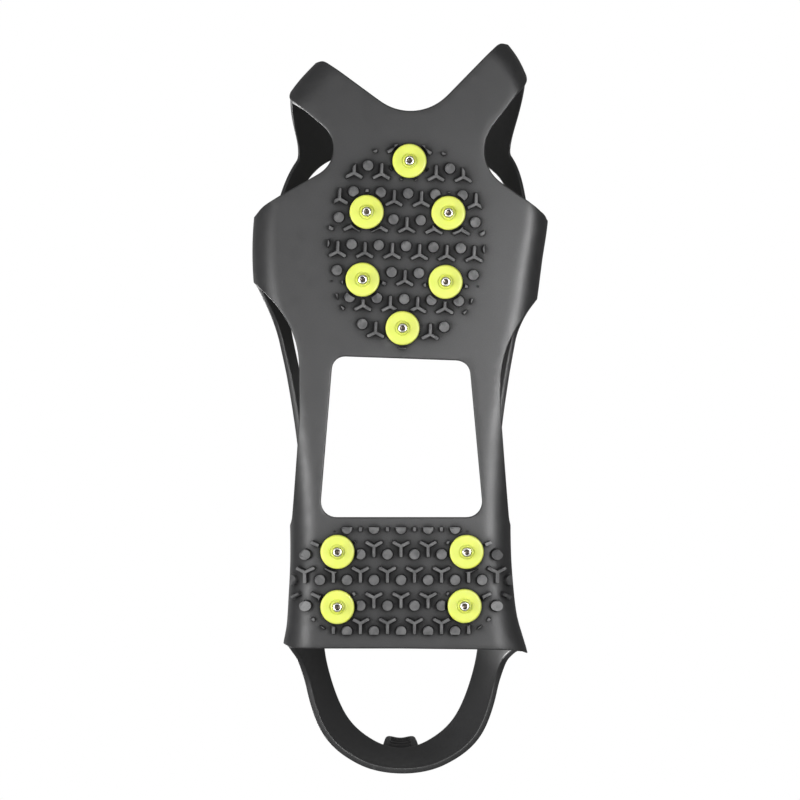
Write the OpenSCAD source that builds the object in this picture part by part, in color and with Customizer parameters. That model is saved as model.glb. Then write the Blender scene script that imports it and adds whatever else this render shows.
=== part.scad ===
// Shoe ice cleats: a stretch rubber harness in the shape it takes on a right shoe, with ten steel studs in
// plastic carriers under the forefoot and the heel. +Z is up, the toe points to +Y, the stud tips stand on
// z = 0, and the origin is under the middle of the whole object.

/* [Harness] */
// Length of the worn harness, from the toe straps to the back of the heel band
harness_length = 290; // [270:1:310]
// Width of the worn harness across the side wings
harness_width = 115; // [105:1:125]
// Height of the toe band's rear edge above the ground
toe_rim_height = 62; // [56:1:70]
// Height of the side rims above the ground
side_rim_height = 43; // [38:1:50]
// Height of the heel band's upper edge above the ground
heel_rim_height = 69; // [60:1:78]
// Thickness of the sole pads and arch bars
web_thickness = 3; // [2.5:0.1:4]
// Thickness of the side walls, rims and bands
wall_thickness = 2.5; // [1.8:0.1:3]

/* [Pull tab] */
// Width of the heel pull tab
tab_width = 26; // [20:1:32]
// Height of the pull tab above the heel band
tab_height = 17; // [12:1:22]
// Thickness of the pull tab
tab_thickness = 3; // [2.5:0.1:4]

/* [Tread] */
// How far the rubber lugs stand out of the pads
lug_height = 2.2; // [1:0.1:2.4]
// Diameter of the round lugs
lug_diameter = 4.2; // [3.5:0.1:5]
// Width of a three-armed lug's arms
rib_width = 1.4; // [1:0.1:2]
// Length of a three-armed lug's arms, from their meeting point
rib_length = 3.8; // [3:0.1:4.2]
// Bare ring that the tread leaves round each stud, as a radius
stud_clearing = 7.8; // [7:0.1:9]

/* [Studs] */
// Height of the carrier discs' faces above the stud tips
tip_reach = 3.3; // [2.5:0.1:4]
// Diameter of a carrier's outer disc
disc_diameter = 13.3; // [11:0.1:14]
// Thickness of a carrier's outer disc
disc_thickness = 2; // [1.5:0.1:2.5]
// Diameter of a carrier's neck, and of the hole it fills in the rubber
neck_diameter = 7.2; // [6:0.1:8]
// Diameter of a carrier's inner flange
flange_diameter = 11; // [9.5:0.1:12]
// Thickness of a carrier's inner flange
flange_thickness = 1; // [0.8:0.1:1.2]
// Diameter of the steel stud
tip_diameter = 3.5; // [3:0.1:4]
// Diameter of the crater in a stud's tip
crater_diameter = 2; // [1.6:0.1:2.4]
// Diameter of a steel stud's head
head_diameter = 6; // [5:0.1:6.5]

/* [Hidden] */

rubber_colour = "#4d4d4f";
tread_colour = "#5b5b5d";
carrier_colour = "#e6f53c";
steel_colour = "#b9bcc0";

// The harness is drawn at these sizes, and the driving dimensions stretch it from there
drawn_length = 290;
drawn_width = 115;
wide = harness_width / drawn_width;
long = harness_length / drawn_length;

web_low = tip_reach + disc_thickness;
web_high = web_low + web_thickness;
// The side walls rise straight to here, so that a flat sole can lie on the pads, and then lean in
fold_height = web_high + 2.1;
// Gap between the harness's nodes, and the wider one where the heel band pulls away
seam = 0.05;
pull_gap = 0.4;

// One point of the last per row, round the shoe from the toe tip over the right side and the heel:
// sole edge x and y, rim x and y, rim height from -1 toe over 0 side to 1 heel, rim's share of the wall
LAST = [
    [-6, 158, 0, 103, -1, 0.16], [18, 148.5, 13, 104, -0.92, 0.16],
    [31.5, 138, 23.5, 103, -0.7, 0.18], [44, 123.5, 33, 98, -0.42, 0.2],
    [52, 104, 40.5, 88, -0.2, 0.24], [56.8, 80, 46, 72, -0.08, 0.26],
    [57.8, 58, 47.5, 54, 0, 0.26], [55.5, 36, 45, 34, 0, 0.26],
    [50.5, 14, 41, 13, 0, 0.26], [46.5, -8, 38, -8, 0.03, 0.26],
    [43.8, -32, 35.5, -31, 0.12, 0.26], [43.1, -56, 34, -54, 0.28, 0.28],
    [44.2, -82, 33.5, -79, 0.5, 0.32], [44, -107, 31, -102, 0.7, 0.36],
    [36.5, -131, 23.5, -122.5, 0.86, 0.38], [20, -144, 12.5, -133.5, 0.97, 0.39],
    [-0.5, -147.5, 0, -137.5, 1, 0.4], [-21, -144.5, -12.5, -133.5, 0.97, 0.39],
    [-38, -132, -23.5, -122.5, 0.86, 0.38], [-45.6, -108, -31, -102, 0.7, 0.36],
    [-45, -82, -33.5, -79, 0.5, 0.32], [-43.1, -56, -33.5, -54, 0.28, 0.28],
    [-43, -32, -34.5, -31, 0.12, 0.26], [-44.5, -8, -36.5, -8, 0.03, 0.26],
    [-48, 14, -39, 13, 0, 0.26], [-52, 36, -42.5, 34, 0, 0.26],
    [-55, 58, -44.5, 54, 0, 0.26], [-57.6, 80, -45.5, 72, -0.08, 0.26],
    [-55, 106, -42.5, 89, -0.2, 0.24], [-49.6, 130, -35, 98, -0.42, 0.2],
    [-40.5, 145, -25, 103, -0.7, 0.18], [-25, 155, -13, 104, -0.92, 0.16]
];

// Corners of the web seen from above, as x, y and corner radius, from the toe notch round the right side
WEB = [
    [-6, 111.5, 20], [31, 138.5, 2], [44, 123.5, 2], [17.5, 101.5, 11.5], [56.8, 79, 5],
    [57.8, 51, 3], [39.7, 34, 38], [39.7, -1, 60], [43.3, -58, 100], [44.2, -83, 20], [46, -92, 1.5],
    [-43.5, -92, 3], [-49, -93.5, 1], [-44.7, -78, 40], [-43, -53, 100], [-39.1, 3, 80],
    [-39.2, 24, 40], [-52.7, 44, 8], [-57.9, 77.2, 2.5], [-26, 98.8, 15.5], [-49.6, 130.3, 1.5],
    [-39.9, 145.8, 3]
];
WINDOW = [[26.5, 22.2, 5], [31.7, -40.7, 6], [-32.3, -40.7, 6], [-26.7, 20.3, 5.5]];
// The window's bars run between these lines, and the pads begin beyond them
window_front = 14;
window_rear = -33;

// Stud places: six under the forefoot, four under the heel
STUDS = [[-3.4, 98.3], [13.3, 78.4], [-18.6, 78], [14.9, 52], [-17.5, 51.1], [-0.7, 33.1],
         [24.7, -54.2], [-25.7, -54.2], [24.7, -75.7], [-24.9, -75.3]];

forefoot_centre = [-2.1, 65];
forefoot_half_size = [30.6, 39.8];
forefoot_tilt = 2.1;
forefoot_pitch = [10.65, 10.3];
heel_centre = [-0.1, -65.1];
heel_pitch = [10.55, 10];
// Half of the heel tread's outline: x and y from its centre, with the corners cut off
HEEL_ZONE = [[22.5, 20.5], [34.5, 15.2], [42.6, 6], [42.6, -6.5], [34.5, -15.8], [27, -21.3]];
// How far a three-armed lug's meeting point lies from its row of round lugs
rib_offset = 3.1;
tread_rows = 4;
tread_columns = 5;

// Station numbers round the last where the walls' two edges start at the web and meet the rim
STRAP_EDGES = [[2.02, 1.7], [3.0, 3.3]];
WING_EDGES = [[5.1, 4.7], [6.3, 6.9]];
HEEL_WALL_EDGES = [[10.4, 9.9], [12.38, 12.7]];
toe_band_end = 3.4;
heel_band_start = 12.75;
stations = len(LAST);
edge_step = 2;
round_detail = 64;

function spline(a, b, c, d, f) =
    (2 * b + (c - a) * f + (2 * a - 5 * b + 4 * c - d) * f * f + (3 * b - a - 3 * c + d) * f * f * f) / 2;

function last_row(i) = LAST[(i + 2 * stations) % stations];

function station(s) =
    let (i = floor(s), f = s - i)
    spline(last_row(i - 1), last_row(i), last_row(i + 1), last_row(i + 2), f);

function rim_height(share) =
    side_rim_height + abs(share) * ((share < 0 ? toe_rim_height : heel_rim_height) - side_rim_height);

// A point of the harness's outer skin: s counts stations round the last and t runs from the fold at 0 to
// the rim at 1, below 0 down the straight foot of the wall. depth goes in from there to the shoe
function skin(s, t, depth) =
    let (
        p = station(s),
        edge = [p[0] * wide, p[1] * long],
        run = [p[2] * wide, p[3] * long] - edge,
        inset = norm(run),
        rise = rim_height(p[4]) - fold_height,
        bend = 2 * atan(inset / rise),
        turn = bend * max(t, 0),
        place = edge + run * (1 - cos(turn)) / (1 - cos(bend)) + run / inset * cos(turn) * depth,
        height = fold_height + rise * sin(turn) / sin(bend) - sin(turn) * depth
    )
    [place[0], place[1], height + min(t, 0) * (fold_height - web_low)];

function rim_start(s) = 1 - station(s)[5];

function mix_of(pair, f) = pair[0] + (pair[1] - pair[0]) * f;

// Triangles of a closed box of points: rows of outer points first, then the same rows of inner points
function shell_faces(columns, rows) =
    let (
        wide_row = columns + 1,
        inner = wide_row * (rows + 1),
        last = rows * wide_row
    )
    concat(
        [for (r = [0:rows - 1], c = [0:columns - 1]) let (k = r * wide_row + c)
            each [[k, k + wide_row, k + 1], [k + 1, k + wide_row, k + wide_row + 1]]],
        [for (r = [0:rows - 1], c = [0:columns - 1]) let (k = inner + r * wide_row + c)
            each [[k, k + 1, k + wide_row], [k + 1, k + wide_row + 1, k + wide_row]]],
        [for (c = [0:columns - 1]) each [[c, c + 1, inner + c], [c + 1, inner + c + 1, inner + c]]],
        [for (c = [0:columns - 1]) let (k = last + c)
            each [[k, inner + k, k + 1], [k + 1, inner + k, inner + k + 1]]],
        [for (r = [0:rows - 1]) let (k = r * wide_row)
            each [[k, inner + k, k + wide_row], [k + wide_row, inner + k, inner + k + wide_row]]],
        [for (r = [0:rows - 1]) let (k = r * wide_row + columns)
            each [[k, k + wide_row, inner + k], [k + wide_row, inner + k + wide_row, inner + k]]]
    );

module wall(edges, columns = 8, rows = 8) {
    // Row 0 is the foot of the wall, and the others rise from the fold to just under the rim
    points = [
        for (depth = [0, wall_thickness], r = [-1:rows], c = [0:columns])
            let (
                f = max(r, 0) / rows,
                s = mix_of([mix_of(edges[0], f * f), mix_of(edges[1], f * f)], c / columns),
                top = rim_start(s) - seam / (rim_height(station(s)[4]) - fold_height)
            )
            skin(s, r < 0 ? -1 : f * top, depth)
    ];
    polyhedron(points, shell_faces(columns, rows + 1), convexity = 6);
}

module rim(from, to, columns, rows = 3) {
    points = [
        for (depth = [0, wall_thickness], r = [0:rows], c = [0:columns])
            let (s = mix_of([from, to], c / columns))
            skin(s, mix_of([rim_start(s), 1], r / rows), depth)
    ];
    polyhedron(points, shell_faces(columns, rows), convexity = 8);
}

// The same edges on the other side of the last, where the stations count backwards
function other_side(edges) = [
    [for (s = edges[1]) stations - s],
    [for (s = edges[0]) stations - s]
];

function unit(v) = v / norm(v);

function corner_arc(before, corner, after, radius) =
    let (
        u = unit(before - corner),
        v = unit(after - corner),
        half = acos(u * v) / 2,
        centre = corner + unit(u + v) * radius / sin(half),
        first = corner + u * radius / tan(half) - centre,
        final = corner + v * radius / tan(half) - centre,
        start = atan2(first[1], first[0]),
        swing = (atan2(final[1], final[0]) - start + 540) % 360 - 180,
        steps = max(2, ceil(abs(swing) * PI / 180 * radius / edge_step))
    )
    [for (k = [0:steps]) let (a = start + swing * k / steps) centre + radius * [cos(a), sin(a)]];

function flat_point(p) = [p[0] * wide, p[1] * long];

function rounded(corners) =
    let (n = len(corners))
    [for (i = [0:n - 1])
        each corner_arc(flat_point(corners[(i + n - 1) % n]), flat_point(corners[i]),
                        flat_point(corners[(i + 1) % n]), corners[i][2])];

// The web's area inside the feet of the walls
module web_area() {
    intersection() {
        polygon(rounded(WEB));
        polygon([for (k = [0:4 * stations - 1]) let (p = skin(k / 4, 0, wall_thickness + seam)) [p[0], p[1]]]);
    }
}

module web_part(x_low, x_high, y_low, y_high, studs = []) {
    difference() {
        translate([0, 0, web_low])
            linear_extrude(web_thickness)
                difference() {
                    intersection() {
                        web_area();
                        translate([x_low, y_low])
                            square([x_high - x_low, y_high - y_low]);
                    }
                    polygon(rounded(WINDOW));
                }
        for (i = studs)
            translate(stud_place(i)) {
                cylinder(d = neck_diameter, h = web_high + 1, $fn = round_detail);
                translate([0, 0, web_high - flange_thickness])
                    cylinder(d = flange_diameter, h = web_thickness, $fn = round_detail);
            }
    }
}

function stud_place(i) = [STUDS[i][0] * wide, STUDS[i][1] * long, 0];

module three_arms(stem) {
    // stem is the direction of the upright arm
    for (turn = [0, 118, -118])
        rotate(stem + turn)
            translate([0, -rib_width / 2])
                square([rib_length, rib_width]);
    circle(d = rib_width, $fn = 24);
}

module lug_pattern(pitch, stem) {
    for (row = [-tread_rows:tread_rows], column = [-tread_columns:tread_columns]) {
        shift = row % 2 == 0 ? 0 : pitch[0] / 2;
        translate([column * pitch[0] + shift, row * pitch[1]])
            circle(d = lug_diameter, $fn = 24);
        translate([(column + 0.5) * pitch[0] + shift, row * pitch[1] - (stem > 0 ? rib_offset : -rib_offset)])
            three_arms(stem);
    }
}

module stud_clearings() {
    for (p = STUDS)
        translate(flat_point(p))
            circle(r = stud_clearing, $fn = round_detail);
}

module tread_solids() {
    translate([0, 0, web_low - lug_height])
        linear_extrude(lug_height)
            difference() {
                children();
                stud_clearings();
            }
}

// Spool-shaped carrier: the outer disc, the neck through the rubber, and the inner flange, turned in one
module stud_carrier(i) {
    chamfer = 0.5;
    boss_height = 0.4;
    boss_radius = tip_diameter / 2 + 0.7;
    disc = disc_diameter / 2;
    tip = tip_diameter / 2;
    head_low = web_high - flange_thickness;
    color(carrier_colour)
        translate(stud_place(i))
            rotate_extrude($fn = round_detail)
                polygon([
                    [tip, tip_reach - boss_height], [boss_radius, tip_reach - boss_height],
                    [boss_radius, tip_reach], [disc - chamfer, tip_reach], [disc, tip_reach + chamfer],
                    [disc, web_low], [neck_diameter / 2, web_low],
                    [neck_diameter / 2, web_high - flange_thickness],
                    [flange_diameter / 2, web_high - flange_thickness], [flange_diameter / 2, web_high],
                    [head_diameter / 2, web_high], [head_diameter / 2, head_low], [tip, head_low]
                ]);
}

module steel_stud(i) {
    chamfer = 0.3;
    crater_depth = 1.4;
    head_low = web_high - flange_thickness;
    head_high = web_high - 0.2;
    tip = tip_diameter / 2;
    crater = crater_diameter / 2;
    color(steel_colour)
        translate(stud_place(i))
            rotate_extrude($fn = round_detail)
                polygon([
                    [0, crater_depth], [crater * 0.7, crater_depth], [crater, 0], [tip - chamfer, 0],
                    [tip, chamfer], [tip, head_low], [head_diameter / 2, head_low],
                    [head_diameter / 2, head_high], [0, head_high]
                ]);
}

module forefoot_pad() {
    color(rubber_colour)
        web_part(-drawn_width, drawn_width, window_front, drawn_length, [0:5]);
}

module heel_pad() {
    color(rubber_colour)
        web_part(-drawn_width, drawn_width, -drawn_length, window_rear, [6:9]);
}

module arch_bar_left() {
    color(rubber_colour)
        web_part(-drawn_width, 0, window_rear, window_front);
}

module arch_bar_right() {
    color(rubber_colour)
        web_part(0, drawn_width, window_rear, window_front);
}

module forefoot_tread() {
    color(tread_colour)
        tread_solids()
            translate(flat_point(forefoot_centre))
                rotate(forefoot_tilt)
                    intersection() {
                        lug_pattern(forefoot_pitch, 90);
                        polygon([for (a = [0:5:355])
                            [forefoot_half_size[0] * cos(a), forefoot_half_size[1] * sin(a)]]);
                    }
}

module heel_tread() {
    color(tread_colour)
        tread_solids()
            translate(flat_point(heel_centre))
                intersection() {
                    lug_pattern(heel_pitch, -90);
                    polygon(concat(HEEL_ZONE, [for (i = [5:-1:0]) [-HEEL_ZONE[i][0], HEEL_ZONE[i][1]]]));
                }
}

module toe_strap_left() {
    color(rubber_colour)
        wall(other_side(STRAP_EDGES));
}

module toe_strap_right() {
    color(rubber_colour)
        wall(STRAP_EDGES);
}

module toe_band() {
    color(rubber_colour)
        rim(-toe_band_end, toe_band_end, 28);
}

module wing_left() {
    color(rubber_colour)
        wall(other_side(WING_EDGES));
}

module wing_right() {
    color(rubber_colour)
        wall(WING_EDGES);
}

module side_rim_left() {
    color(rubber_colour)
        rim(stations - heel_band_start, stations - toe_band_end, 36);
}

module side_rim_right() {
    color(rubber_colour)
        rim(toe_band_end, heel_band_start, 36);
}

module heel_wall_left() {
    color(rubber_colour)
        wall(other_side(HEEL_WALL_EDGES), 10);
}

module heel_wall_right() {
    color(rubber_colour)
        wall(HEEL_WALL_EDGES, 10);
}

module heel_band() {
    // The band starts a little behind the rims, which it leaves when it is pulled back
    slack = pull_gap / norm(skin(heel_band_start, 1, 0) - skin(heel_band_start + 1, 1, 0));
    color(rubber_colour)
        rim(heel_band_start + slack, stations - heel_band_start - slack, 40, 4);
}

module pull_tab() {
    root = skin(stations / 2, 1, wall_thickness / 2);
    corner = 5;
    color(rubber_colour)
        translate([0, root[1] + tab_thickness / 2, root[2] + 1])
            rotate([90, 0, 0])
                linear_extrude(tab_thickness)
                    union() {
                        translate([-tab_width / 2, 0])
                            square([tab_width, tab_height - corner]);
                        translate([corner - tab_width / 2, 0])
                            square([tab_width - 2 * corner, tab_height]);
                        for (side = [-1, 1])
                            translate([side * (tab_width / 2 - corner), tab_height - corner])
                                circle(r = corner, $fn = 48);
                    }
}

forefoot_pad();
heel_pad();
arch_bar_left();
arch_bar_right();
forefoot_tread();
heel_tread();
toe_strap_left();
toe_strap_right();
toe_band();
wing_left();
wing_right();
side_rim_left();
side_rim_right();
heel_wall_left();
heel_wall_right();
heel_band();
pull_tab();
stud_carrier(0);  // stud_carrier_1
stud_carrier(1);  // stud_carrier_2
stud_carrier(2);  // stud_carrier_3
stud_carrier(3);  // stud_carrier_4
stud_carrier(4);  // stud_carrier_5
stud_carrier(5);  // stud_carrier_6
stud_carrier(6);  // stud_carrier_7
stud_carrier(7);  // stud_carrier_8
stud_carrier(8);  // stud_carrier_9
stud_carrier(9);  // stud_carrier_10
steel_stud(0);  // steel_stud_1
steel_stud(1);  // steel_stud_2
steel_stud(2);  // steel_stud_3
steel_stud(3);  // steel_stud_4
steel_stud(4);  // steel_stud_5
steel_stud(5);  // steel_stud_6
steel_stud(6);  // steel_stud_7
steel_stud(7);  // steel_stud_8
steel_stud(8);  // steel_stud_9
steel_stud(9);  // steel_stud_10
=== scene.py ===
import math

import bpy
import numpy as np
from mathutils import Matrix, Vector
from mathutils.geometry import delaunay_2d_cdt


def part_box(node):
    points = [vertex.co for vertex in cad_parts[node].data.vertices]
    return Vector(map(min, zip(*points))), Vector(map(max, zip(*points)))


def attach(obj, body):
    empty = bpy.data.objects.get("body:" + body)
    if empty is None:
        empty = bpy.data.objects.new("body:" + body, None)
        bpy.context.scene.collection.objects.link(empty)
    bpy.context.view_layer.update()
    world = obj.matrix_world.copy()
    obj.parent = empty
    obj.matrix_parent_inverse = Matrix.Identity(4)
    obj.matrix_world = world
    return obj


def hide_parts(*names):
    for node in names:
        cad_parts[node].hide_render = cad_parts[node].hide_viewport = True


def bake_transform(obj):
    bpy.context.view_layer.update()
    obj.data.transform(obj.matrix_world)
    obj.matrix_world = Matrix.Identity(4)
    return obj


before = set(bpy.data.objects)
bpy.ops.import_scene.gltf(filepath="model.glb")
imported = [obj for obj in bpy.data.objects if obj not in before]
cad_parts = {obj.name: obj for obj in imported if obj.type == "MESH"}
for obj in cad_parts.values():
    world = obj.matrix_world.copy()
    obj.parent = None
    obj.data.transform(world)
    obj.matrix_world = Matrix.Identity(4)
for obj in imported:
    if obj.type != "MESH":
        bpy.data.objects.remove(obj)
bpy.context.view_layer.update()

# ---------------------------------------------------------------------------------------------------------
# Sizes, in millimetres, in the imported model's frame: +Z up, toe toward +Y, stud tips on z = 0
# ---------------------------------------------------------------------------------------------------------
MM = 0.001
SIDE_RIM, TOE_RIM, HEEL_RIM = 43, 62, 69     # heights of the rims above the ground
WEB_LOW, WEB_THICK, WALL_THICK = 5.3, 3.0, 2.5
FOLD = 11.0                                  # radius of the turn from the pads up into the walls
EDGE = 0.6                                   # radius of the moulded edges
BEAD = 1.0                                   # how far the rim's bead stands out
LUG_HEIGHT, LUG_RADIUS, RIB_WIDTH, RIB_LENGTH = 2.2, 1.98, 1.1, 3.7
STEM_LENGTH = 4.2                            # the upright arm of a three-armed lug is longer than the others
LUG_DRAFT = 0.17                             # how much wider a lug is at its foot, on each side
EDGE_SWELL = 1.007                           # the rubber bulges this much past the sole edge
STUD_CLEARING = 7.8                          # radius round each stud that stays free of lugs
NECK_RADIUS, FLANGE_RADIUS, FLANGE_THICK = 3.6, 5.5, 1.0
STUD_COUNT, FOREFOOT_STUDS = 10, 6
OUTLINE_STEP, LOOP_STEP, RIM_STEP = 1.0, 1.2, 1.3   # how far apart points are on stretches, loops and the rim
BATCH = 1000                                 # points handled at a time where each is compared with many

# The last: sole edge x and y, rim x and y, rim height from -1 toe over 0 side to 1 heel, rim's share
LAST = np.array([
    [-6, 158, 0, 103, -1, 0.16], [18, 148.5, 13, 104, -0.92, 0.16],
    [31.5, 138, 23.5, 103, -0.7, 0.18], [44, 123.5, 33, 98, -0.42, 0.2],
    [52, 104, 40.5, 88, -0.2, 0.24], [56.8, 80, 46, 72, -0.08, 0.26],
    [57.8, 58, 47.5, 54, 0, 0.26], [55.5, 36, 45, 34, 0, 0.26],
    [50.5, 14, 41, 13, 0, 0.26], [46.5, -8, 38, -8, 0.03, 0.26],
    [43.8, -32, 35.5, -31, 0.12, 0.26], [43.1, -56, 34, -54, 0.28, 0.28],
    [44.2, -82, 33.5, -79, 0.5, 0.32], [44, -107, 31, -102, 0.7, 0.36],
    [36.5, -131, 23.5, -122.5, 0.86, 0.38], [20, -144, 12.5, -133.5, 0.97, 0.39],
    [-0.5, -147.5, 0, -137.5, 1, 0.4], [-21, -144.5, -12.5, -133.5, 0.97, 0.39],
    [-38, -132, -23.5, -122.5, 0.86, 0.38], [-45.6, -108, -31, -102, 0.7, 0.36],
    [-45, -82, -33.5, -79, 0.5, 0.32], [-43.1, -56, -33.5, -54, 0.28, 0.28],
    [-43, -32, -34.5, -31, 0.12, 0.26], [-44.5, -8, -36.5, -8, 0.03, 0.26],
    [-48, 14, -39, 13, 0, 0.26], [-52, 36, -42.5, 34, 0, 0.26],
    [-55, 58, -44.5, 54, 0, 0.26], [-57.6, 80, -45.5, 72, -0.08, 0.26],
    [-55, 106, -42.5, 89, -0.2, 0.24], [-49.6, 130, -35, 98, -0.42, 0.2],
    [-40.5, 145, -25, 103, -0.7, 0.18], [-25, 155, -13, 104, -0.92, 0.16],
])
LAST[:, :2] *= EDGE_SWELL
STATIONS = len(LAST)


# ---------------------------------------------------------------------------------------------------------
# The harness's skin. A flat pattern holds the whole harness: inside the sole edge it is the plan view, and
# beyond it every wall lies unrolled outward. The skin folds that pattern up round the shoe.
# ---------------------------------------------------------------------------------------------------------
def station(s):
    """The last's row at station s, which may be an array and runs on past the last row to the first."""
    s = np.asarray(s, float)
    i = np.floor(s).astype(int)
    f = (s - i)[..., None]
    a, b, c, d = (LAST[(i + k) % STATIONS] for k in (-1, 0, 1, 2))
    return (2 * b + (c - a) * f + (2 * a - 5 * b + 4 * c - d) * f ** 2 + (3 * b - a - 3 * c + d) * f ** 3) / 2


def wall(s):
    """Sole edge, outward direction, lean radius and length of the wall above the fold at station s."""
    row = station(s)
    edge, run = row[..., :2], row[..., 2:4] - row[..., :2]
    inset = np.linalg.norm(run, axis=-1)
    share = row[..., 4]
    rise = SIDE_RIM + np.abs(share) * (np.where(share < 0, TOE_RIM, HEEL_RIM) - SIDE_RIM) - WEB_LOW - FOLD
    bend = 2 * np.arctan2(inset, rise)
    radius = np.hypot(inset, rise) / (2 * np.sin(bend / 2))
    return edge, -run / inset[..., None], radius, radius * bend


RAYS_PER_STATION = 48
RAY_S = np.arange(STATIONS * RAYS_PER_STATION) / RAYS_PER_STATION
RAY_EDGE, RAY_OUT, _, _ = wall(RAY_S)
MISSED = -1e3                                # a distance lower than any real one


def locate(points):
    """Station and outward distance from the sole edge of points of the plan or the pattern."""
    points = np.asarray(points, float)
    found = np.zeros(len(points))
    for at in range(0, len(points), BATCH):
        p = points[at:at + BATCH, None, :] - RAY_EDGE[None]
        cross = p[..., 0] * RAY_OUT[:, 1] - p[..., 1] * RAY_OUT[:, 0]
        reach = p[..., 0] * RAY_OUT[:, 0] + p[..., 1] * RAY_OUT[:, 1]
        following = np.roll(cross, -1, axis=1)
        hit = (cross <= 0) != (following <= 0)
        k = np.where(hit, reach, MISSED).argmax(axis=1)
        rows = np.arange(len(k))
        c0, c1 = cross[rows, k], following[rows, k]
        f = np.where(hit[rows, k], c0 / np.where(c0 == c1, 1, c0 - c1), 0)
        found[at:at + BATCH] = (k + f) / RAYS_PER_STATION
    edge, out, _, _ = wall(found)
    return found, ((points - edge) * out).sum(-1)


def plan_to_pattern(points):
    """Points seen from above, inside the sole edge, as points of the pattern."""
    points = np.asarray(points, float)
    s, d = locate(points)
    edge, out, _, _ = wall(s)
    turn = np.arcsin(np.clip((d + FOLD) / FOLD, -1, 1))
    unrolled = edge + out * (FOLD * turn - FOLD)[:, None]
    return np.where((d > -FOLD)[:, None], unrolled, points)


def wall_to_pattern(s, t):
    """Points of the wall, with t from the end of the fold at 0 to the rim at 1, as points of the pattern."""
    edge, out, _, length = wall(s)
    reach = FOLD * (math.pi / 2 - 1) + np.asarray(t) * length
    return edge + out * reach[..., None]


# Where the heel pad's rear corners are pulled out: station, shift in x, y and z, and how far it reaches
FLARES = [(19.55, (-3.7, -0.7, 0), 11.0), (19.55, (-0.7, -3.2, 0), 6.0), (12.42, (1.5, 0.1, 0), 8.0)]


def skin(points):
    """Outer surface of the harness at points of the pattern, with its outward direction."""
    points = np.asarray(points, float)
    s, d = locate(points)
    edge, out, radius, _ = wall(s)
    turn = np.clip((d + FOLD) / FOLD, 0, math.pi / 2)
    lean = np.maximum(d + FOLD - FOLD * math.pi / 2, 0) / radius
    along = FOLD * np.sin(turn) - FOLD - radius * (1 - np.cos(lean))
    up = FOLD * (1 - np.cos(turn)) + radius * np.sin(lean)
    folded = d > -FOLD
    plan = np.where(folded[:, None], edge + out * along[:, None], points)
    place = np.column_stack([plan, WEB_LOW + np.where(folded, up, 0)])
    for corner, shift, reach in FLARES:
        away = np.linalg.norm(points - wall_to_pattern(corner, 0.0), axis=1)
        place += np.exp(-(away / reach) ** 2)[:, None] * np.array(shift)
    side, rise = np.sin(turn) * np.cos(lean), np.where(lean > 0, np.sin(lean), -np.cos(turn))
    normal = np.column_stack([out * side[:, None], rise])
    normal = np.where(folded[:, None], normal, [0, 0, -1])
    return place, normal / np.linalg.norm(normal, axis=1)[:, None]


# ---------------------------------------------------------------------------------------------------------
# Outlines on the pattern
# ---------------------------------------------------------------------------------------------------------
def lengths_along(path):
    """Each point's distance from the first one, along the polyline."""
    return np.concatenate([[0], np.cumsum(np.linalg.norm(np.diff(path, axis=0), axis=1))])


def counterclockwise(loop):
    return (loop[:, 0] * np.roll(loop[:, 1], -1) - loop[:, 1] * np.roll(loop[:, 0], -1)).sum() > 0


def arc_corners(corners, closed=False, step=OUTLINE_STEP):
    """A polyline through corners of x, y and radius, with each corner turned into an arc."""
    pts = [np.array(c[:2], float) for c in corners]
    n = len(pts)
    path = [] if closed else [pts[0]]
    for i in range(n) if closed else range(1, n - 1):
        corner, radius = pts[i], corners[i][2]
        u, v = pts[i - 1] - corner, pts[(i + 1) % n] - corner
        u, v = u / np.linalg.norm(u), v / np.linalg.norm(v)
        half = math.acos(np.clip(u @ v, -1, 1)) / 2
        centre = corner + (u + v) / np.linalg.norm(u + v) * radius / math.sin(half)
        first = corner + u * radius / math.tan(half) - centre
        swing_end = corner + v * radius / math.tan(half) - centre
        start = math.atan2(first[1], first[0])
        swing = (math.atan2(swing_end[1], swing_end[0]) - start + 3 * math.pi) % (2 * math.pi) - math.pi
        for a in np.linspace(start, start + swing, max(3, int(abs(swing) * radius / step) + 2)):
            path.append(centre + radius * np.array([math.cos(a), math.sin(a)]))
    if not closed:
        path.append(pts[-1])
    return spaced(np.array(path), step, closed)


def spaced(path, step, closed=False):
    """The polyline with its points step apart, or a little less."""
    ends = np.vstack([path, path[:1]]) if closed else path
    along = lengths_along(ends)
    count = max(2, int(math.ceil(along[-1] / step)) + 1)
    at = np.linspace(0, along[-1], count)
    result = np.column_stack([np.interp(at, along, ends[:, k]) for k in (0, 1)])
    return result[:-1] if closed else result


HANDLE = 0.6                                 # how far a rounded corner's Bezier handles reach, in cuts
WEB_STOP = 0.15                              # the web's outline stops this far inside the sole edge
WALL_START = 0.03                            # and the wall's goes on at this t


def web_path(*corners):
    """A stretch of the web's outline as seen from above, cut short just inside the sole edge at its ends."""
    path = arc_corners(corners, step=0.7)
    _, d = locate(path)
    return plan_to_pattern(path[d < -WEB_STOP])


def wall_path(*places):
    """A stretch of outline up or down a wall, through places of station and t, on a smooth line."""
    s, t = np.array(places, float).T
    f = np.linspace(0, 1, 60)
    bend = np.array([np.polyfit(np.linspace(0, 1, len(s)), v, len(s) - 1) for v in (s, t)])
    return spaced(wall_to_pattern(np.polyval(bend[0], f), np.polyval(bend[1], f)), OUTLINE_STEP)


def rim_foot(s_from, s_to):
    """The rim's lower edge."""
    s = np.linspace(s_from, s_to, int(abs(s_to - s_from) * 20) + 2)
    return spaced(wall_to_pattern(s, 1 - station(s)[:, 5]), OUTLINE_STEP)


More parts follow.
